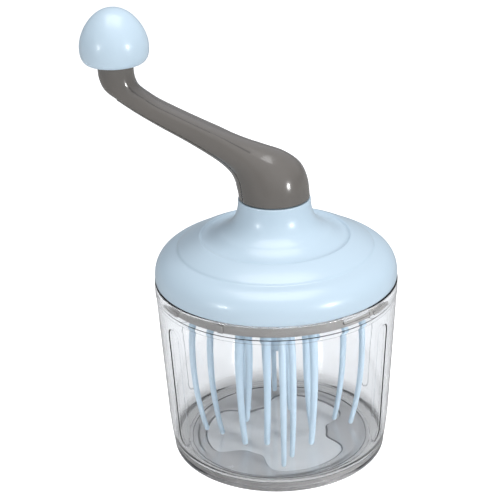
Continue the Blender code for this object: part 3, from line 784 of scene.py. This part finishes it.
def cup_foot():
    """From the straight wall round the thick foot, and up into the pocket that takes the pad's lip."""
    bottom = low("cup").z
    pocket_r = PAD_R + GAP
    spigot_r = PAD_R - PAD_LIP - GAP
    shoulder = PAD_HEIGHT + GAP
    spigot_z = PAD_FLOOR + GAP
    line = bend(WALL_LOW, (0.0613, 0.0103), FOOT_TURN, 26)
    line += bend(FOOT_TURN, (0.0600, bottom + 0.0003), (FOOT_R, bottom), 6)
    pocket = [
        (0.0580, bottom, 0.0),
        (pocket_r, bottom, 0.0003),
        (pocket_r, shoulder, 0.0002),
        (spigot_r, shoulder, 0.0002),
        (spigot_r, spigot_z, 0.0003),
        (0.0200, spigot_z, 0.0),
    ]
    return line + rounded(pocket, closed=False) + [(0.0, spigot_z)]


def cup_look(centre, top):
    """Index of a face's material in the bowl: 0 clear, 1 painted shade along a flute's edge and along the
    second line, 2 painted shade on the ledge, 3 the foot with its painted shade.
    """
    x, y, z = centre
    radius = math.hypot(x, y)
    to_step = min(abs(z - LEDGE_Z + 0.0001), abs(z - SECOND_LINE_Z))
    on_step = radius > WALL_HIGH[0] - 0.0004 and to_step < 0.0001
    if on_step and z > SECOND_LINE_Z + 0.001:
        return 2
    on_flute = False
    if FLUTES_ABOVE < z < top and radius > wall_radius(z) - 0.0008:
        to_spine = flute_distance(z, math.atan2(y, x), radius)
        on_flute = abs(to_spine - FLUTE_HALF_WIDTH + 0.00035) < 0.00035
    if on_flute or on_step:
        return 1
    return 3 if z < FOOT_SHADE_TOP and radius > 0.0517 else 0


def make_cup():
    """The clear bowl: a wall with pressed flutes, a stepped collar with lugs, and a pocket for the pad."""
    collar = cup_collar()
    top = collar[-1][1]
    wall = [(wall_radius(z), z) for z in wall_heights(top)]

    def press(radius, z, angle):
        if FLUTES_ABOVE < z < top and radius > wall_radius(z) - 0.0012:
            return radius - flute_depth(z, angle, radius)
        return radius

    line = cup_inside() + collar + wall + cup_foot()
    cup = lathe("cup_body", line, angles=flute_angles(), warp=press)
    lugs = []
    for i in range(3):
        place = (LUG_INNER_R, MOUTH_R + 0.001, LUG_ANGLE + 120.0 * i, LUG_HALF_ANGLE)
        lugs.append(sector_block(f"lug_{i}", *place, CUP_TOP - LUG_LOW, CUP_TOP - LUG_HIGH))
    join(cup, lugs)
    # The flute edges, the ledge and the foot take darker clear plastics: painted shade.
    cup.data.materials.clear()
    for material in (MATERIALS["cup_clear"], CUP_EDGE_SHADE, CUP_LEDGE_SHADE, CUP_FOOT_SHADE):
        cup.data.materials.append(material)
    for polygon in cup.data.polygons:
        polygon.material_index = cup_look(polygon.center, top)
    finish_piece(cup, "cup")


# ---------------------------------------------------------------- lid

NECK_R = 0.0195
LID_BORE_R = 0.0083
BUSH_SEAT_R = 0.0109
HOUSING_R = 0.0359
HOUSING_WALL_R = 0.0382
HOUSING_BOTTOM = 0.1070
HOUSING_ROOF = 0.1224
NECK_HOLLOW_TOP = 0.1440
LID_SEAT_R = 0.0626
# The lid's outer line, from its neck to its rim: control and end of each curve as
# (radius, height over the rim), and how many points it gets.
LID_LINE = (
    ((0.0199, 0.0305), (0.0300, 0.0263), 22),
    ((0.0352, 0.0228), (0.0386, 0.0227), 10),
    ((0.0396, 0.0226), (0.0401, 0.0230), 4),
    ((0.0408, 0.0237), (0.0419, 0.0232), 5),
    ((0.0480, 0.0209), (0.0521, 0.0183), 12),
    ((0.0528, 0.0179), (0.0532, 0.0173), 4),
    ((0.0535, 0.0169), (0.0541, 0.0167), 4),
    ((0.0661, 0.0135), (RIM_R, 0.0022), 30),
)


def lid_outside():
    """From the bore over the neck, the dish, the bead and the step to the foot of the rim."""
    neck = [(LID_BORE_R, NECK_TOP, 0.0), (NECK_R, NECK_TOP, 0.0006), (NECK_R, NECK_TOP - 0.004, 0.0)]
    line = rounded(neck, closed=False)[:-1]
    start = (NECK_R, NECK_TOP - 0.0012)
    for control, end, count in LID_LINE:
        above = [(radius, RIM_BOTTOM + height) for radius, height in (control, end)]
        line += bend(start, *above, count)
        start = line[-1]
    rim = ((0.00005, 0.0008), (0.0003, 0.0002), (0.0006, 0.0))
    return line + [(RIM_R - back, RIM_BOTTOM + height) for back, height in rim]


def lid_inside():
    """From the skirt's seat through the hollow shoulder and the gear housing up into the neck."""
    line = [(LID_SEAT_R, RIM_BOTTOM), (LID_SEAT_R, RIM_BOTTOM + 0.0053)]
    line += bend(line[-1], (0.0615, 0.1150), (0.0525, 0.1174), 8)
    line += [(0.0420, 0.1228), (HOUSING_WALL_R, 0.1228)]
    line += [(HOUSING_WALL_R, HOUSING_BOTTOM), (HOUSING_R, HOUSING_BOTTOM)]
    line += [(HOUSING_R, HOUSING_ROOF), (0.0285, 0.1266), (0.0215, 0.1328), (0.0178, NECK_HOLLOW_TOP)]
    return line + [(BUSH_SEAT_R, NECK_HOLLOW_TOP), (BUSH_SEAT_R, HOUSING_ROOF), (LID_BORE_R, HOUSING_ROOF)]


def make_lid():
    """The blue cover: a flared neck, a dish, a bead round it, a step and a full shoulder."""
    lid = lathe("lid_shell", lid_outside() + lid_inside(), steps=256, ring=True)
    finish_piece(lid, "lid_cover", sharp=50.0)


SKIRT_R = 0.0622
SKIRT_INNER_R = 0.0598
SKIRT_BOTTOM = RING_BOTTOM + 0.0012
SKIRT_EDGE = 0.0003
GROOVE_TOP = 0.1015
GROOVE_BOTTOM = 0.0995
GROOVE_DEPTH = 0.0010
LUG_TURN = 19.0
STOP_TURN = -67.0
SKIRT_REACH_R = 0.0630
# Half of the width in degrees, and the top, of a lug and of a stop.
SKIRT_LUG = (7.0, 0.0970)
SKIRT_STOP = (1.3, 0.0992)


def skirt_block(name, azimuth, half, top):
    """A lug or a stop on the skirt, from its middle azimuth, half of its width and its top."""
    return sector_block(name, SKIRT_R - 0.001, SKIRT_REACH_R, azimuth, half, SKIRT_BOTTOM + 0.0002, top)


def make_skirt():
    """The grey skirt in the bowl's mouth, with its groove for the seal, its lugs and its stops."""
    groove_r = SKIRT_R - GROOVE_DEPTH
    profile = rounded(
        [
            (SKIRT_INNER_R, RING_TOP, SKIRT_EDGE),
            (SKIRT_R, RING_TOP, SKIRT_EDGE),
            (SKIRT_R, GROOVE_TOP, SKIRT_EDGE),
            (groove_r, GROOVE_TOP, 0.0002),
            (groove_r, GROOVE_BOTTOM, 0.0002),
            (SKIRT_R, GROOVE_BOTTOM, SKIRT_EDGE),
            (SKIRT_R, SKIRT_BOTTOM, 0.0005),
            (SKIRT_INNER_R, SKIRT_BOTTOM, SKIRT_EDGE),
        ]
    )
    skirt = lathe("skirt", profile, ring=True)
    blocks = []
    for i in range(3):
        lug = LUG_ANGLE + 120.0 * i
        blocks.append(skirt_block(f"skirt_lug_{i}", lug + LUG_TURN, *SKIRT_LUG))
        blocks.append(skirt_block(f"skirt_stop_{i}", lug + STOP_TURN, *SKIRT_STOP))
    join(skirt, blocks)
    finish_piece(skirt, "lid_ring")


def make_seal():
    """The soft seal in the skirt's groove, round on its outer side."""
    bottom, top = low("lid_seal"), high("lid_seal")
    middle = (bottom.z + top.z) / 2
    profile = rounded(
        [
            (top.x - 0.0018, top.z, 0.0002),
            (top.x - 0.0006, top.z, 0.0003),
            (top.x, middle, 0.0006),
            (top.x - 0.0006, bottom.z, 0.0003),
            (top.x - 0.0018, bottom.z, 0.0002),
        ]
    )
    finish_piece(lathe("seal", profile, ring=True), "lid_seal")


# ---------------------------------------------------------------- whisk

# Each arm's tines: azimuth from the arm's start, and the radius at the top, at the bow and at the tip.
TINES = (
    (3.0, 0.0400, 0.0478, 0.0415),
    (12.0, 0.0320, 0.0382, 0.0330),
    (43.0, 0.0235, 0.0290, 0.0262),
    (70.0, 0.0120, 0.0172, 0.0200),
)
ARM_COUNT = 4
ARM_Z = 0.0858
BOW_Z = 0.0560
WHISK_HUB_R = 0.0088
TINE_TOP_R = 0.00198
TINE_TIP_R = 0.00138
OUTER_TINES = 2
INNER_TINES_STOUTER = 1.2
WHISK_ARM_R = 0.0025


def domed(station, way, turn):
    """A ring of the rounded end beyond a (point, tangent, radius) station."""
    point, tangent, radius = station
    return point + tangent * radius * math.sin(turn) * way, tangent, radius * math.cos(turn)


def sweep(name, points, radii, flat=1.0, sides=14):
    """A round or flattened rod along the points, with domed ends."""
    points = [Vector(p) for p in points]
    tangents = []
    for i in range(len(points)):
        tangents.append((points[min(i + 1, len(points) - 1)] - points[max(i - 1, 0)]).normalized())
    side = tangents[0].orthogonal().normalized()
    rings = []
    stations = list(zip(points, tangents, radii))
    first, last = stations[0], stations[-1]
    head = [domed(first, -1.0, turn) for turn in (1.2, 0.8, 0.4)]
    tail = [domed(last, 1.0, turn) for turn in (0.4, 0.8, 1.2)]
    rings.append([first[0] - first[1] * first[2]])
    for point, tangent, radius in head + stations + tail:
        side = (side - tangent * side.dot(tangent)).normalized()
        other = tangent.cross(side) * flat
        turns = [math.tau * j / sides for j in range(sides)]
        rings.append([point + (side * math.cos(t) + other * math.sin(t)) * radius for t in turns])
    rings.append([last[0] + last[1] * last[2]])
    return skin(name, rings)


def make_whisk():
    """One moulding: a tapering hub, four curved arms and the tines that hang from them."""
    hub = rounded(
        [
            (0.0, WHISK_TOP, 0.0),
            (WHISK_HUB_R, WHISK_TOP, 0.0010),
            (WHISK_HUB_R, 0.0800, 0.004),
            (0.0068, 0.0725, 0.006),
            (0.0045, 0.0640, 0.006),
            (0.0026, BOW_Z + 0.0002, 0.0012),
            (0.0, BOW_Z, 0.0),
        ],
        closed=False,
        segments=5,
    )
    whisk = lathe("whisk_moulding", hub, steps=64)
    rods = []
    for arm in range(ARM_COUNT):
        start = 360.0 / ARM_COUNT * arm
        stations = [(WHISK_HUB_R - 0.003, 88.0)] + [(top, azimuth) for azimuth, top, _, _ in reversed(TINES)]
        route = spline([tuple(polar(r, math.radians(a + start), ARM_Z)) for r, a in stations], 6)
        rods.append(sweep(f"arm_{arm}", route, [WHISK_ARM_R] * len(route), flat=1.15))
        for index, (azimuth, top_r, bow_r, tip_r) in enumerate(TINES):
            turn = math.radians(azimuth + start)
            upper = [(top_r, ARM_Z)] + bend((top_r, ARM_Z), (bow_r, ARM_Z - 0.006), (bow_r, BOW_Z), 9)
            lower = bend((bow_r, BOW_Z), (bow_r, 0.030), (tip_r, WHISK_TIP + TINE_TIP_R), 12)
            route = [polar(r, turn, z) for r, z in upper + lower]
            last = len(route) - 1
            stout = 1.0 if index < OUTER_TINES else INNER_TINES_STOUTER
            thinned = [(TINE_TIP_R - TINE_TOP_R) * (i / last) ** 1.5 for i in range(last + 1)]
            radii = [stout * (TINE_TOP_R + less) for less in thinned]
            rods.append(sweep(f"tine_{arm}_{index}", route, radii))
    join(whisk, rods)
    finish_piece(whisk, "whisk", sharp=60.0)


# ---------------------------------------------------------------- crank arm

Station = namedtuple("Station", "upper_x upper_z lower_x lower_z half_width square chord crease")
# From the stem to the hub: upper and lower edge (x, z), half of the width, how square the section
# is, where the underside cover begins as a share of the half height, and how strong the crease is.
STATIONS = (
    (-0.0707, STEM_TOP, -0.0893, STEM_TOP, 0.0093, 2.0, -0.99, 0.0),
    (-0.0705, 0.2155, -0.0889, 0.2148, 0.0093, 2.0, -0.99, 0.0),
    (-0.0681, 0.2105, -0.0865, 0.2088, 0.0093, 2.1, -0.90, 0.45),
    (-0.0634, 0.2066, -0.0805, 0.2033, 0.0094, 2.3, -0.70, 0.95),
    (-0.0574, 0.2018, -0.0713, 0.1967, 0.0092, 2.6, -0.62, 1.0),
    (-0.0495, 0.1974, -0.0598, 0.1892, 0.0090, 2.8, -0.60, 1.0),
    (-0.0384, 0.1917, -0.0478, 0.1819, 0.0093, 2.8, -0.60, 1.0),
    (-0.0265, 0.1858, -0.0372, 0.1750, 0.0100, 2.8, -0.62, 0.9),
    (-0.0142, 0.1801, -0.0286, 0.1683, 0.0109, 2.3, -0.66, 0.5),
    (-0.0034, 0.1757, -0.0231, 0.1623, 0.0124, 2.05, -0.74, 0.1),
    (0.0062, 0.1718, -0.0207, 0.1572, 0.0145, 2.0, -0.80, 0.0),
    (0.0142, 0.1656, -0.0199, 0.1532, 0.0168, 2.0, -0.84, 0.0),
    (0.0179, 0.1572, -0.0193, 0.1504, 0.0184, 2.0, -0.87, 0.0),
    (0.0190, HUB_BOTTOM, -0.0190, HUB_BOTTOM, 0.0190, 2.0, -0.87, 0.0),
)

# The crease, in shares of the half width and, for its depth, of the half height. A painted shade line, a
# darker material, runs in it where it is strong enough.
CREASE_AT = 0.86
CREASE_WIDTH = 0.16
CREASE_DEPTH = 0.16
CREASE_SHADE_AT = 0.83
CREASE_SHADE_HALF = 0.035
CREASE_SHADE_LEAST = 0.3
COVER_START = 3


def arm_stations(rows):
    """The rows and seven more stations after each of them, on a smooth curve."""
    return [Station(*values) for values in spline(rows, 8)]


def arm_ring(s, upper_side, count):
    """The arm's section at station s, above or below the chord where the underside cover begins."""
    middle = Vector(((s.upper_x + s.lower_x) / 2, 0.0, (s.upper_z + s.lower_z) / 2))
    rise = Vector((s.upper_x - s.lower_x, 0.0, s.upper_z - s.lower_z)) / 2
    chord = math.asin(-((-s.chord) ** (s.square / 2)))
    start, end = (chord, math.pi - chord) if upper_side else (math.pi - chord, math.tau + chord)
    ring = []
    for i in range(count):
        angle = start + (end - start) * i / (count - 1)
        across = math.copysign(abs(math.cos(angle)) ** (2 / s.square), math.cos(angle))
        up = math.copysign(abs(math.sin(angle)) ** (2 / s.square), math.sin(angle))
        if up > 0.0:
            hollow = smoothstep((CREASE_AT - abs(across)) / CREASE_WIDTH)
            up -= s.crease * CREASE_DEPTH * hollow
        ring.append(middle + rise * up + Vector((0.0, across * s.half_width, 0.0)))
    return ring


def make_crank():
    """The arm's shell, with a painted shade line in its creases, and the cover that closes its underside."""
    stations = arm_stations(STATIONS)
    count = 72
    arm = skin("arm_shell", [arm_ring(s, True, count) for s in stations])
    arm.data.materials.append(MATERIALS["arm_grey"])
    arm.data.materials.append(ARM_CREASE_SHADE)
    # Faces along the crease, where it is strong enough, take the darker material: painted shade.
    for polygon in arm.data.polygons:
        row, column = divmod(polygon.index, count)
        on_top = row < len(stations) - 1 and 8 < column < count - 10
        if on_top and stations[row].crease > CREASE_SHADE_LEAST:
            across = abs(polygon.center.y) / stations[row].half_width
            polygon.material_index = 1 if abs(across - CREASE_SHADE_AT) < CREASE_SHADE_HALF else 0
    finish_piece(arm, "crank_arm", sharp=60.0)
    lowered = []
    for s in arm_stations(STATIONS[COVER_START:]):
        half_height = math.hypot(s.upper_x - s.lower_x, s.upper_z - s.lower_z) / 2
        lowered.append(s._replace(chord=s.chord - GAP / half_height))
    cover = skin("arm_under_cover", [arm_ring(s, False, 32) for s in lowered])
    finish_piece(cover, "crank_cover", sharp=60.0)


# ---------------------------------------------------------------- knob

KNOB_R = 0.0179
KNOB_CAVITY_R = 0.0078
KNOB_CAVITY_TOP = 0.2411


def make_knob():
    """The turned knob, hollow where its pin and sleeve run."""
    outer = [(0.0, KNOB_TOP)]
    outer += bend(outer[-1], (0.0086, KNOB_TOP), (0.0146, KNOB_TOP - 0.0095), 16)
    outer += bend(outer[-1], (KNOB_R, 0.2358), (KNOB_R, 0.2302), 12)
    outer += bend(outer[-1], (KNOB_R, 0.2250), (0.0152, 0.2229), 10)
    outer += bend(outer[-1], (0.0142, KNOB_BOTTOM), (0.0128, KNOB_BOTTOM), 4)
    inner = [(KNOB_CAVITY_R, KNOB_BOTTOM), (KNOB_CAVITY_R, KNOB_CAVITY_TOP), (0.0, KNOB_CAVITY_TOP)]
    knob = lathe("knob_body", outer + inner, steps=96, at=(KNOB_X, 0.0))
    finish_piece(knob, "knob", sharp=50.0)


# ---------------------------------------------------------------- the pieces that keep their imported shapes


def paint_packed_nodes():
    """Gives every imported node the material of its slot."""
    for name, node in frame["nodes"].items():
        node.data.materials.clear()
        node.data.materials.append(MATERIALS[SLOT_OF[name]])


make_camera()
make_lights()
make_world()
make_floor()
paint_packed_nodes()
make_pad()
make_cup()
make_lid()
make_skirt()
make_seal()
make_whisk()
make_crank()
make_knob()
bpy.context.scene.view_settings.view_transform = "Standard"
